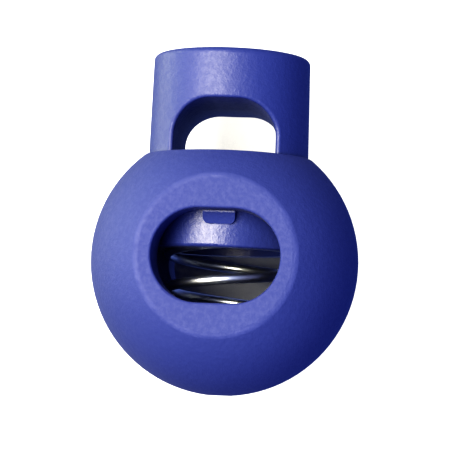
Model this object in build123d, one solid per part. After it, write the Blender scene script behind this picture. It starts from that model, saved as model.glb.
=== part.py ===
from build123d import *
import math
import os

# Ball cord lock: a moulded ball with a cord window through it, a round button plunger with a
# window of its own, and the compression spring that pushes the plunger out and pinches the cord.
#
# The row's frame, in millimetres: the lock lies on its back facet, the plane z = 0. The origin is
# the centre of the cord window on that facet. The window runs along +Z and the button points
# along -Y, so pressing the button moves the plunger along +Y.
#
# Every piece is first made upright: the plunger's axis is +Z, the front facet faces +Y, and the
# ball's centre is the origin. A reach is a height in that upright frame, measured from the ball's
# centre towards the button. lay_down then moves a piece into the row's frame.

# ball body
ball_radius = 9.0
facet_offset = 7.35  # from the ball's centre to the front facet, and to the back one
facet_round = 0.7  # blend between each facet and the ball
mouth_reach = 7.0  # the flat ring that the plunger comes out of
mouth_round = 0.1
window_width = 8.35
window_height = 6.1
window_round = 0.18
closed_end_gap = 0.03  # left between the plunger and each of its two stops
gate_radius = 0.8
gate_depth = 0.25
gate_pip_radius = 0.35
gate_pip_height = 0.1

# plunger
plunger_radius = 5.38
button_radius = 5.28  # at the button's end, so the button has a slight draft
button_reach = 13.85
button_round = 0.4
skirt_reach = 0.67  # lowest end of the plunger, seen in the middle of the cord window
skirt_round = 0.2
pocket_radius = 4.35
pocket_depth = 2.1
eye_width = 6.84  # the plunger's own window, at its surface
eye_bottom_reach = 3.9
eye_top_reach = 10.5
eye_corner = 2.45
eye_draft = 1.5  # degrees, narrowing from both faces to the middle
eye_round = 0.2
eye_half_length = 6.0  # past the plunger's surface
lug_width = 2.1
lug_height = 0.85
lug_flat_height = 0.12  # above the lead-in ramp
lug_stand = 0.5  # how far the lug stands out of the plunger
lug_ramp_stand = 0.1
lug_root_depth = 0.5  # how far the lug reaches into the plunger
lug_corner = 0.4

# motion
travel = 5.15

# fit between plunger and ball
bore_clearance = 0.07
bore_radius = plunger_radius + bore_clearance
bore_floor_reach = skirt_reach - travel - closed_end_gap
well_floor_reach = -6.9

# spring
wire_radius = 0.34
coil_radius = 3.76  # from the spring's axis to the middle of the wire
coil_pitch = 2.4
closed_pitch = 2 * wire_radius + 0.02
closed_turns = 0.75  # nearly closed turns at each end
easing_turns = 0.5  # over which the pitch opens out
seat_gap = 0.02
front_wire_reach = -1.37  # where the wire crosses the middle of the window's front
points_per_turn = 12


def lay_down(upright):
    """Move an upright piece into the row's frame."""
    return Pos(0, 0, facet_offset) * Rot(90, 0, 0) * upright


def column(radius, low, high):
    """A cylinder on the plunger's axis, from one reach to another."""
    return Pos(0, 0, low) * Cylinder(radius, high - low, align=(Align.CENTER, Align.CENTER, Align.MIN))


def faceted_ball():
    """The ball with its two flat facets, blended at their rims, and the flat mouth ring."""
    slab = Box(2 * ball_radius, 2 * facet_offset, 2 * ball_radius)
    ball = Sphere(ball_radius) & slab
    rims = ball.edges().filter_by(GeomType.CIRCLE).group_by(Axis.Y)
    ball = fillet(rims[0] + rims[-1], facet_round)
    ball -= column(ball_radius, mouth_reach, 2 * ball_radius)
    mouth_rim = ball.edges().group_by(Axis.Z)[-1]
    return fillet(mouth_rim, mouth_round)


def gate_mark():
    """The shallow recess at the closed end, with the stub of the moulding gate left in it."""
    floor_reach = -ball_radius + gate_depth
    recess = column(gate_radius, -2 * ball_radius, floor_reach)
    pip = column(gate_pip_radius, floor_reach - gate_pip_height, floor_reach)
    return recess - pip


def make_ball_body():
    """The one-piece ball: plunger bore, spring well and the cord window through both facets."""
    body = faceted_ball()
    body -= column(bore_radius, bore_floor_reach, 2 * ball_radius)
    body -= column(pocket_radius, well_floor_reach, bore_floor_reach)
    window = Plane.XZ * SlotOverall(window_width, window_height)
    body -= extrude(window, ball_radius, both=True)
    facets = body.faces().filter_by(Axis.Y).group_by(Axis.Y)
    outer_facets = facets[0] + facets[-1]
    rims = [edge for facet in outer_facets for rim in facet.inner_wires() for edge in rim.edges()]
    body = fillet(rims, window_round)
    return body - gate_mark()


def plunger_blank():
    """The round plunger, straight in the bore and slightly tapered above the mouth."""
    outline = Polyline(
        (0, 0, skirt_reach),
        (plunger_radius, 0, skirt_reach),
        (plunger_radius, 0, mouth_reach),
        (button_radius, 0, button_reach),
        (0, 0, button_reach),
        close=True,
    )
    blank = revolve(make_face(outline), Axis.Z)
    rims = blank.edges().filter_by(GeomType.CIRCLE)
    blank = fillet(rims.group_by(Axis.Z)[-1], button_round)
    rims = blank.edges().filter_by(GeomType.CIRCLE)
    return fillet(rims.group_by(Axis.Z)[0], skirt_round)


def plunger_eye():
    """The cord's way through the plunger, narrowest in the middle."""
    narrowing = plunger_radius * math.tan(math.radians(eye_draft))
    height = eye_top_reach - eye_bottom_reach - 2 * narrowing
    middle_reach = (eye_top_reach + eye_bottom_reach) / 2
    outline = RectangleRounded(eye_width - 2 * narrowing, height, eye_corner - narrowing)
    front = Plane(origin=(0, 0, middle_reach), x_dir=(1, 0, 0), z_dir=(0, 1, 0))
    back = Plane(origin=(0, 0, middle_reach), x_dir=(1, 0, 0), z_dir=(0, -1, 0))
    front_half = extrude(front * outline, eye_half_length, taper=-eye_draft)
    back_half = extrude(back * outline, eye_half_length, taper=-eye_draft)
    return front_half + back_half


def retaining_lug():
    """The lug on the plunger's front that catches on the window's edge and holds the plunger in."""
    top = window_height / 2 - closed_end_gap
    bottom = top - lug_height
    ramp_top = top - lug_flat_height
    root = plunger_radius - lug_root_depth
    outline = Polyline(
        (0, root, bottom),
        (0, plunger_radius + lug_ramp_stand, bottom),
        (0, plunger_radius + lug_stand, ramp_top),
        (0, plunger_radius + lug_stand, top),
        (0, root, top),
        close=True,
    )
    lug = extrude(make_face(outline), lug_width / 2, dir=(1, 0, 0), both=True)
    corners = lug.edges().filter_by(Axis.Y).group_by(Axis.Z)[0]
    return fillet(corners, lug_corner)


def eye_rims(plunger):
    """The edges where the eye breaks out through the plunger's front and back."""
    between = plunger.edges().filter_by_position(Axis.Z, eye_bottom_reach, eye_top_reach)
    return between.filter_by(lambda edge: abs(edge.center().Y) > eye_corner)


def make_plunger():
    """The button plunger with its eye, its spring pocket and its two retaining lugs."""
    blank = plunger_blank()
    plunger = blank - plunger_eye()
    plunger = fillet(eye_rims(plunger), eye_round)
    plunger -= column(pocket_radius, skirt_reach, skirt_reach + pocket_depth)
    lug = retaining_lug()
    return plunger + lug + Rot(0, 0, 180) * lug


def spring_rise(turn, total_turns):
    """Height of the wire's middle above the lower seat's wire, after a number of turns."""
    easing_rise = easing_turns * (closed_pitch + coil_pitch) / 2
    if turn > total_turns / 2:
        return spring_span() - spring_rise(total_turns - turn, total_turns)
    if turn < closed_turns:
        return closed_pitch * turn
    eased = turn - closed_turns
    if eased < easing_turns:
        opening = (coil_pitch - closed_pitch) * eased**2 / (2 * easing_turns)
        return closed_pitch * turn + opening
    return closed_pitch * closed_turns + easing_rise + coil_pitch * (eased - easing_turns)


def spring_span():
    """Distance between the middles of the wire at the two ends."""
    pocket_ceiling = skirt_reach + pocket_depth
    return pocket_ceiling - well_floor_reach - 2 * (wire_radius + seat_gap)


def spring_turns():
    """Turns needed to fill the span at the open pitch."""
    end_rise = closed_pitch * closed_turns + easing_turns * (closed_pitch + coil_pitch) / 2
    open_turns = (spring_span() - 2 * end_rise) / coil_pitch
    return open_turns + 2 * (closed_turns + easing_turns)


def make_spring():
    """The round-wire compression spring, wound right-handed, with closed ends."""
    total = spring_turns()
    lowest = well_floor_reach + wire_radius + seat_gap
    middle_reach = lowest + spring_span() / 2
    front_turn = total / 2 + (front_wire_reach - middle_reach) / coil_pitch
    count = round(total * points_per_turn)
    points = []
    for step in range(count + 1):
        turn = total * step / count
        angle = 2 * math.pi * (turn - front_turn)
        reach = lowest + spring_rise(turn, total)
        points.append((-coil_radius * math.sin(angle), coil_radius * math.cos(angle), reach))
    path = Spline(*points)
    section = Plane(origin=path @ 0, z_dir=path % 0) * Circle(wire_radius)
    return sweep(section, path=path)


pieces = {
    "ball_body": make_ball_body(),
    "plunger": make_plunger(),
    "spring": make_spring(),
}

os.makedirs("parts", exist_ok=True)
for name, piece in pieces.items():
    export_step(lay_down(piece), f"parts/{name}.step")
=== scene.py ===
import math

import bmesh
import bpy
from mathutils import Matrix, Vector


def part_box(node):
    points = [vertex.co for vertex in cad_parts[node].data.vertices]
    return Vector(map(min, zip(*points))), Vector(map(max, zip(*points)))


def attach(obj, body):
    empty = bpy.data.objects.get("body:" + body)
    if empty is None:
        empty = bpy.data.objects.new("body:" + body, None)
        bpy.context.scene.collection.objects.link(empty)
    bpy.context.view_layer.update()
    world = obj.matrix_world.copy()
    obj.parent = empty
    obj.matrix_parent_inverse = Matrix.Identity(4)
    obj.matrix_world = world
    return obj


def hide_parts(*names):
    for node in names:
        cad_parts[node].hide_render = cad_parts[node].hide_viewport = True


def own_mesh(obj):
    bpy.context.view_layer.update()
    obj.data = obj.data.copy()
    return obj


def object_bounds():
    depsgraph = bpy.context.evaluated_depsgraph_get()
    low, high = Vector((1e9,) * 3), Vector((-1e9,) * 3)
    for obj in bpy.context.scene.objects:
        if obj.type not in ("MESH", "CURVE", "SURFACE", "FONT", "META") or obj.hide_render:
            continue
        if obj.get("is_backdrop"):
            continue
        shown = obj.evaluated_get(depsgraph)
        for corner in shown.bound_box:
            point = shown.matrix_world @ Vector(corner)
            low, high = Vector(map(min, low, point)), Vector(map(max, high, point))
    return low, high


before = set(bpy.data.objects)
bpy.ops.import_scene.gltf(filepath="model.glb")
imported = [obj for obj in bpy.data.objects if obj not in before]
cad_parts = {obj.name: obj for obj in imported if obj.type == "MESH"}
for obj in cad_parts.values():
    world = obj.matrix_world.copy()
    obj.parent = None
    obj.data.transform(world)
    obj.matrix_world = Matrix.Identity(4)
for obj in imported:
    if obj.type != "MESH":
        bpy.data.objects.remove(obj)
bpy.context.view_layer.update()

# Where things are, in metres, from the frame: the lock lies on its back facet, the cord window
# runs along +Z through the origin, and the button points along -Y.
MM = 0.001
ball_low, ball_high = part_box("ball_body")
spring_low, spring_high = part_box("spring")
ball_centre = Vector((0, 0, (ball_low.z + ball_high.z) / 2))
mouth_y = ball_low.y  # the flat ring that the plunger comes out of


# --- small helpers for node materials -------------------------------------------------------

def new_material(name):
    """A node material, the tree it lives in and its Principled shader."""
    material = bpy.data.materials.new(name)
    material.use_nodes = True
    return material, material.node_tree, material.node_tree.nodes["Principled BSDF"]


def add(tree, kind, inputs=None, **settings):
    """A node of that kind, with its settings, and its inputs set to numbers or linked to sockets."""
    node = tree.nodes.new(kind)
    for key, value in settings.items():
        setattr(node, key, value)
    for key, value in (inputs or {}).items():
        if isinstance(value, bpy.types.NodeSocket):
            tree.links.new(value, node.inputs[key])
        else:
            node.inputs[key].default_value = value
    return node


def maths(tree, operation, *values):
    """The result of a Math node on numbers or sockets."""
    return add(tree, "ShaderNodeMath", dict(enumerate(values)), operation=operation).outputs[0]


def ramp(tree, value, low, high, to_low=0.0, to_high=1.0):
    """A smooth step of value, from to_low at low to to_high at high."""
    inputs = {"Value": value, "From Min": low, "From Max": high, "To Min": to_low, "To Max": to_high}
    return add(tree, "ShaderNodeMapRange", inputs, interpolation_type="SMOOTHSTEP").outputs[0]


def noise(tree, where, scale, detail=2.0, roughness=0.5):
    """Noise from 0 to 1 at so many cells a metre."""
    inputs = {"Vector": where, "Scale": scale, "Detail": detail, "Roughness": roughness}
    return add(tree, "ShaderNodeTexNoise", inputs).outputs["Fac"]


MIX_FIRST_COLOUR = 6  # the Mix node's sockets for colours, which share their names with others
MIX_SECOND_COLOUR = 7
MIX_COLOUR_RESULT = 2


def mixed(tree, share, first, second):
    """A colour between two, by the share of the second."""
    inputs = {"Factor": share, MIX_FIRST_COLOUR: first, MIX_SECOND_COLOUR: second}
    return add(tree, "ShaderNodeMix", inputs, data_type="RGBA").outputs[MIX_COLOUR_RESULT]


def bumped(tree, height, distance, strength, under=None):
    """The normal of a bump, on top of another one if given."""
    inputs = {"Height": height, "Distance": distance, "Strength": strength}
    if under is not None:
        inputs["Normal"] = under
    return add(tree, "ShaderNodeBump", inputs).outputs["Normal"]


# --- materials -------------------------------------------------------------------------------

DEEP_BLUE = (0.035, 0.050, 0.210, 1)
SCUFFED_BLUE = (0.047, 0.063, 0.235, 1)
RIM_HIGHLIGHT_BLUE = (0.071, 0.087, 0.275, 1)
DRAWN_STEEL = (0.64, 0.68, 0.77, 1)

# Noises, in cells a metre.
GRAIN_CELLS = 9000  # the spark-eroded grain
PITTING_CELLS = 3200
RIPPLE_CELLS = 700
CLOUD_CELLS = 180
DRAWING_MARK_CELLS = 5000

# Depths of the bumps.
GRAIN_DEPTH = 0.03 * MM
PITTING_DEPTH = 0.06 * MM
RIPPLE_DEPTH = 0.05 * MM
SEAM_DEPTH = 0.03 * MM
DRAWING_MARK_DEPTH = 0.01 * MM

SCUFFED_SHARE = 0.35  # the most scuffed blue that the clouds add, and that the pitting adds
GRAIN_ROUGHENING = 0.10
PITTING_SMOOTHING = 0.06
SEAM_HALF_WIDTH = 0.06 * MM
MOUTH_FADE = 0.5 * MM  # how far each side of the mouth the plunger's roughness changes

# Wear along the rims of the two facets, in a stripe round the cord window's axis. The stripe is
# smoother, and is painted a lighter blue as a painted highlight.
RIM_RADIUS = 5.2 * MM
WEAR_AND_HIGHLIGHT_HALF_WIDTH = 0.05 * MM  # of the stripe's fully worn and highlighted middle
WEAR_AND_HIGHLIGHT_REACH = 0.25 * MM  # where the stripe has faded out
LEAST_WEAR_AND_HIGHLIGHT = 0.2  # between the stripe's patches
RIM_HIGHLIGHT_SHARE = 0.35  # of the lighter blue of the painted highlight
RUBBED_SMOOTHING = 0.08

STEEL_ROUGHNESS = 0.28
DRAWING_MARK_ROUGHENING = 0.16


def rim_wear_and_highlight(tree, x, y, patches):
    """How worn the plastic is and how much painted highlight it takes, from 0 to 1, from its place
    and the patches' noise.
    """
    squares = maths(tree, "ADD", maths(tree, "MULTIPLY", x, x), maths(tree, "MULTIPLY", y, y))
    from_axis = maths(tree, "SQRT", squares)
    from_rim = maths(tree, "ABSOLUTE", maths(tree, "SUBTRACT", from_axis, RIM_RADIUS))
    stripe = ramp(tree, from_rim, WEAR_AND_HIGHLIGHT_HALF_WIDTH, WEAR_AND_HIGHLIGHT_REACH, to_low=1.0, to_high=0.0)
    patchy = ramp(tree, patches, low=0.35, high=0.65, to_low=LEAST_WEAR_AND_HIGHLIGHT)
    return maths(tree, "MULTIPLY", stripe, patchy)


def moulded_plastic(name, roughness, inner_roughness=None, worn_and_highlighted_rims=False):
    """Royal blue moulded plastic with a fine grain, faint mottling and a parting line. It may have
    another roughness inside the ball's mouth, and be worn along the facets' rims, with a painted
    highlight there."""
    material, tree, shader = new_material(name)
    where = add(tree, "ShaderNodeTexCoord").outputs["Object"]
    x, y, z = add(tree, "ShaderNodeSeparateXYZ", {0: where}).outputs
    grain = noise(tree, where, GRAIN_CELLS, detail=3.0, roughness=0.6)
    pitting = noise(tree, where, PITTING_CELLS, detail=3.0, roughness=0.55)
    ripple = noise(tree, where, RIPPLE_CELLS)
    clouds = noise(tree, where, CLOUD_CELLS, detail=4.0, roughness=0.6)

    cloudy = ramp(tree, clouds, low=0.35, high=0.75, to_high=SCUFFED_SHARE)
    pitted = ramp(tree, pitting, low=0.4, high=0.7, to_high=SCUFFED_SHARE)
    colour = mixed(tree, maths(tree, "ADD", cloudy, pitted), DEEP_BLUE, SCUFFED_BLUE)

    if inner_roughness is not None:
        outside, inside = mouth_y - MOUTH_FADE, mouth_y + MOUTH_FADE
        roughness = ramp(tree, y, outside, inside, roughness, inner_roughness)
    rough = maths(tree, "MULTIPLY_ADD", grain, GRAIN_ROUGHENING, roughness)
    smooth_pits = ramp(tree, pitting, low=0.35, high=0.65)
    rough = maths(tree, "MULTIPLY_ADD", smooth_pits, -PITTING_SMOOTHING, rough)

    if worn_and_highlighted_rims:
        # The facet rims are smoothed by wear and painted a lighter blue as a painted highlight.
        wear_and_highlight = rim_wear_and_highlight(tree, x, y, ripple)
        rough = maths(tree, "MULTIPLY_ADD", wear_and_highlight, -RUBBED_SMOOTHING, rough)
        colour = mixed(tree, maths(tree, "MULTIPLY", wear_and_highlight, RIM_HIGHLIGHT_SHARE), colour, RIM_HIGHLIGHT_BLUE)

    normal = bumped(tree, grain, GRAIN_DEPTH, strength=0.6)
    normal = bumped(tree, pitting, PITTING_DEPTH, strength=0.5, under=normal)
    normal = bumped(tree, ripple, RIPPLE_DEPTH, strength=0.4, under=normal)
    from_seam = maths(tree, "ABSOLUTE", maths(tree, "SUBTRACT", z, ball_centre.z))
    seam = ramp(tree, from_seam, 0.0, SEAM_HALF_WIDTH, to_low=1.0, to_high=0.0)
    normal = bumped(tree, seam, SEAM_DEPTH, strength=0.35, under=normal)

    shader.inputs["IOR"].default_value = 1.6
    shader.inputs["Sheen Weight"].default_value = 0.03
    shader.inputs["Sheen Roughness"].default_value = 0.4
    tree.links.new(colour, shader.inputs["Base Color"])
    tree.links.new(rough, shader.inputs["Roughness"])
    tree.links.new(normal, shader.inputs["Normal"])
    return material


def spring_steel():
    """Bright spring wire, with faint marks from its drawing."""
    material, tree, shader = new_material("spring_steel")
    where = add(tree, "ShaderNodeTexCoord").outputs["Object"]
    marks = noise(tree, where, DRAWING_MARK_CELLS, detail=3.0)
    rough = maths(tree, "MULTIPLY_ADD", marks, DRAWING_MARK_ROUGHENING, STEEL_ROUGHNESS)
    normal = bumped(tree, marks, DRAWING_MARK_DEPTH, strength=0.3)
    shader.inputs["Metallic"].default_value = 1.0
    shader.inputs["Base Color"].default_value = DRAWN_STEEL
    tree.links.new(rough, shader.inputs["Roughness"])
    tree.links.new(normal, shader.inputs["Normal"])
    return material


def dress(node, material):
    """Gives a CAD node its material."""
    node.data.materials.clear()
    node.data.materials.append(material)


# --- spring ----------------------------------------------------------------------------------

WIRE_RADIUS = 0.34 * MM
OPEN_PITCH = 2.4 * MM
CLOSED_PITCH = 0.70 * MM
CLOSED_TURNS = 0.75  # nearly closed turns at each end
EASING_TURNS = 0.5  # over which the pitch opens out
FRONT_WIRE_Y = 1.37 * MM  # where the wire crosses the middle of the window's front
STEPS_PER_TURN = 72
WIRE_SIDES = 20


def spring_climb(turn, total_turns, span):
    """How far the wire has climbed after a number of turns from the seated end."""
    if turn > total_turns / 2:
        return span - spring_climb(total_turns - turn, total_turns, span)
    eased = min(max(turn - CLOSED_TURNS, 0), EASING_TURNS)
    opened = max(turn - CLOSED_TURNS - EASING_TURNS, 0)
    extra = OPEN_PITCH - CLOSED_PITCH
    return CLOSED_PITCH * turn + extra * (eased * eased / (2 * EASING_TURNS) + opened)


def spring_path():
    """Middle of the wire, point by point, from the well's floor to the plunger's pocket."""
    coil_radius = (spring_high.x - spring_low.x) / 2 - WIRE_RADIUS
    first_y = spring_high.y - WIRE_RADIUS
    span = first_y - (spring_low.y + WIRE_RADIUS)
    end_turns = CLOSED_TURNS + EASING_TURNS
    end_climb = CLOSED_PITCH * end_turns + (OPEN_PITCH - CLOSED_PITCH) * EASING_TURNS / 2
    total_turns = (span - 2 * end_climb) / OPEN_PITCH + 2 * end_turns
    front_turn = total_turns / 2 + (first_y - span / 2 - FRONT_WIRE_Y) / OPEN_PITCH
    steps = round(total_turns * STEPS_PER_TURN)
    points = []
    for step in range(steps + 1):
        turn = total_turns * step / steps
        angle = 2 * math.pi * (turn - front_turn)
        across = Vector((-math.sin(angle), 0, math.cos(angle))) * coil_radius
        y = first_y - spring_climb(turn, total_turns, span)
        points.append(ball_centre + across + Vector((0, y, 0)))
    return points


def wire_ring(mesh, point, along):
    """The vertices round the wire at one point of its path, where the path runs along that way."""
    outward = Vector((point.x, 0, point.z - ball_centre.z)).normalized()
    sideways = along.cross(outward).normalized()
    outward = sideways.cross(along)
    ring = []
    for side in range(WIRE_SIDES):
        angle = 2 * math.pi * side / WIRE_SIDES
        spoke = outward * math.cos(angle) + sideways * math.sin(angle)
        ring.append(mesh.verts.new(point + spoke * WIRE_RADIUS))
    return ring


def wire_mesh():
    """The spring's round wire, smooth along its length and flat at its two ends."""
    points = spring_path()
    mesh = bmesh.new()
    rings = []
    for index, point in enumerate(points):
        before = points[max(index - 1, 0)]
        after = points[min(index + 1, len(points) - 1)]
        rings.append(wire_ring(mesh, point, (after - before).normalized()))
    for first, second in zip(rings, rings[1:]):
        for side in range(WIRE_SIDES):
            following = (side + 1) % WIRE_SIDES
            mesh.faces.new((first[side], first[following], second[following], second[side]))
    for face in mesh.faces:
        face.smooth = True
    mesh.faces.new(list(reversed(rings[0])))
    mesh.faces.new(rings[-1])
    bmesh.ops.recalc_face_normals(mesh, faces=mesh.faces)
    data = bpy.data.meshes.new("spring_wire")
    mesh.to_mesh(data)
    mesh.free()
    return data


def make_spring():
    """The fine spring in place of the CAD one."""
    spring = bpy.data.objects.new("fine_spring", wire_mesh())
    bpy.context.scene.collection.objects.link(spring)
    spring.data.materials.append(spring_steel())
    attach(spring, "body")
    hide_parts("spring")
    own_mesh(spring)


ball_plastic = moulded_plastic("ball_plastic", roughness=0.70, worn_and_highlighted_rims=True)
plunger_plastic = moulded_plastic("plunger_plastic", roughness=0.50, inner_roughness=0.36)
dress(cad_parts["ball_body"], ball_plastic)
dress(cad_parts["plunger"], plunger_plastic)
make_spring()


# --- stage -----------------------------------------------------------------------------------

FLOOR_HALF_WIDTH = 2.0
FLOOR_COLOUR = (0.28, 0.30, 0.38, 1)
GLOW_COLOUR = (1.0, 0.97, 0.84, 1)

# The floor's glow depends on how much is open above it, within the shade's reach: from 0, where
# it is all covered, to 1. Dimming the glow there paints the lock's shade on the floor.
SHADE_REACH = 20 * MM
UNDER_LOCK = 0.07  # no glow where less is open
BESIDE_LOCK = 0.18
IN_THE_OPEN = 0.7
FLOOR_GLOW = 0.50  # beside the lock
OPEN_FLOOR_GLOW = 0.20  # added to it in the open


def make_floor():
    """A plain pale floor, with a soft grey painted shade where the lock is close above it. It casts
    no light on the lock and holds none back."""
    mesh = bpy.data.meshes.new("floor")
    half = FLOOR_HALF_WIDTH
    corners = [(-half, -half, 0), (half, -half, 0), (half, half, 0), (-half, half, 0)]
    mesh.from_pydata(corners, [], [(0, 1, 2, 3)])
    floor = bpy.data.objects.new("floor", mesh)
    bpy.context.scene.collection.objects.link(floor)
    material, tree, shader = new_material("pale_floor")
    occlusion = add(tree, "ShaderNodeAmbientOcclusion", {"Distance": SHADE_REACH}, samples=16)
    open_above = occlusion.outputs["AO"]
    # Painted shade: the glow fades out where the lock covers the floor, also under the cord window.
    glow = ramp(tree, open_above, UNDER_LOCK, BESIDE_LOCK, to_high=FLOOR_GLOW)
    open_glow = ramp(tree, open_above, BESIDE_LOCK, IN_THE_OPEN, to_high=OPEN_FLOOR_GLOW)
    shader.inputs["Base Color"].default_value = FLOOR_COLOUR
    shader.inputs["Roughness"].default_value = 0.9
    shader.inputs["Specular IOR Level"].default_value = 0.0
    shader.inputs["Emission Color"].default_value = GLOW_COLOUR
    tree.links.new(maths(tree, "ADD", glow, open_glow), shader.inputs["Emission Strength"])
    mesh.materials.append(material)
    floor.visible_diffuse = False
    floor.visible_glossy = False
    floor.visible_shadow = False
    floor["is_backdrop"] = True


def aimed(thing, place, target, up):
    """Puts a camera or a light at a place, looking at a target, with up towards its top."""
    back = (Vector(place) - Vector(target)).normalized()
    right = Vector(up).cross(back).normalized()
    top = back.cross(right)
    turn = Matrix((right, top, back)).transposed()
    thing.matrix_world = Matrix.Translation(place) @ turn.to_4x4()


def area_light(name, place, width, height, power, colour):
    """A soft rectangular light that shines on the ball, with its top towards the button's end."""
    lamp = bpy.data.lights.new(name, "AREA")
    lamp.shape = "RECTANGLE"
    lamp.size = width
    lamp.size_y = height
    lamp.energy = power
    lamp.color = colour
    holder = bpy.data.objects.new(name, lamp)
    bpy.context.scene.collection.objects.link(holder)
    aimed(holder, place, ball_centre, (0, -1, 0))


def from_zenith(towards_left, towards_near, distance):
    """A place at that distance from the ball, tilted from straight above by degrees two ways. Left
    is the picture's left, +X, and near is towards the ball's closed end, +Y."""
    left = math.tan(math.radians(towards_left))
    near = math.tan(math.radians(towards_near))
    return ball_centre + Vector((left, near, 1)).normalized() * distance


KEY_COLOUR = (1.0, 0.92, 0.65)
BOUNCE_COLOUR = (1.0, 0.98, 0.46)
BACK_COLOUR = (0.30, 0.40, 1.0)
SURROUND_COLOUR = (0.35, 0.46, 1.0, 1)
SURROUND_STRENGTH = 0.41


def make_lights():
    """A warm key above and to the left, a yellowish bounce from low on the left, a weak blue light
    from the near right, and a blue surrounding."""
    above_left = from_zenith(towards_left=22, towards_near=-6, distance=0.25)
    low_left = ball_centre + Vector((0.28, -0.09, -0.06))  # under the floor, which lets it through
    near_right = from_zenith(towards_left=-60, towards_near=60, distance=0.30)
    area_light("key", above_left, width=0.15, height=0.17, power=1.17, colour=KEY_COLOUR)
    area_light("edge", low_left, width=0.16, height=0.28, power=0.55, colour=BOUNCE_COLOUR)
    area_light("back", near_right, width=0.20, height=0.20, power=0.12, colour=BACK_COLOUR)
    world = bpy.data.worlds.new("surround")
    world.use_nodes = True
    background = world.node_tree.nodes["Background"]
    background.inputs["Color"].default_value = SURROUND_COLOUR
    background.inputs["Strength"].default_value = SURROUND_STRENGTH
    bpy.context.scene.world = world


# The camera's place, measured from the ball's centre along the picture's own directions.
CAMERA_HEIGHT = 0.144
CAMERA_RIGHT = 0.0121
CAMERA_NEAR = 0.0088
CAMERA_ROLL = math.radians(2.3)
PICTURE_SPAN = 0.0305  # the width that the picture takes in, at the lock


def make_camera():
    """Almost straight above the ball, a little to the picture's right and towards its closed end."""
    up = Vector((math.sin(CAMERA_ROLL), -math.cos(CAMERA_ROLL), 0))
    right = Vector((0, 0, -1)).cross(up)
    place = ball_centre + right * CAMERA_RIGHT - up * CAMERA_NEAR + Vector((0, 0, CAMERA_HEIGHT))
    low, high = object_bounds()
    target = (low + high) / 2
    data = bpy.data.cameras.new("camera")
    data.sensor_width = 36
    data.lens = data.sensor_width * (place - target).length / PICTURE_SPAN
    data.clip_start = 0.01
    data.clip_end = 10
    camera = bpy.data.objects.new("camera", data)
    bpy.context.scene.collection.objects.link(camera)
    aimed(camera, place, target, up)
    bpy.context.scene.camera = camera


make_floor()
make_lights()
make_camera()
bpy.context.scene.view_settings.view_transform = "Standard"
bpy.context.scene.view_settings.look = "Very High Contrast"
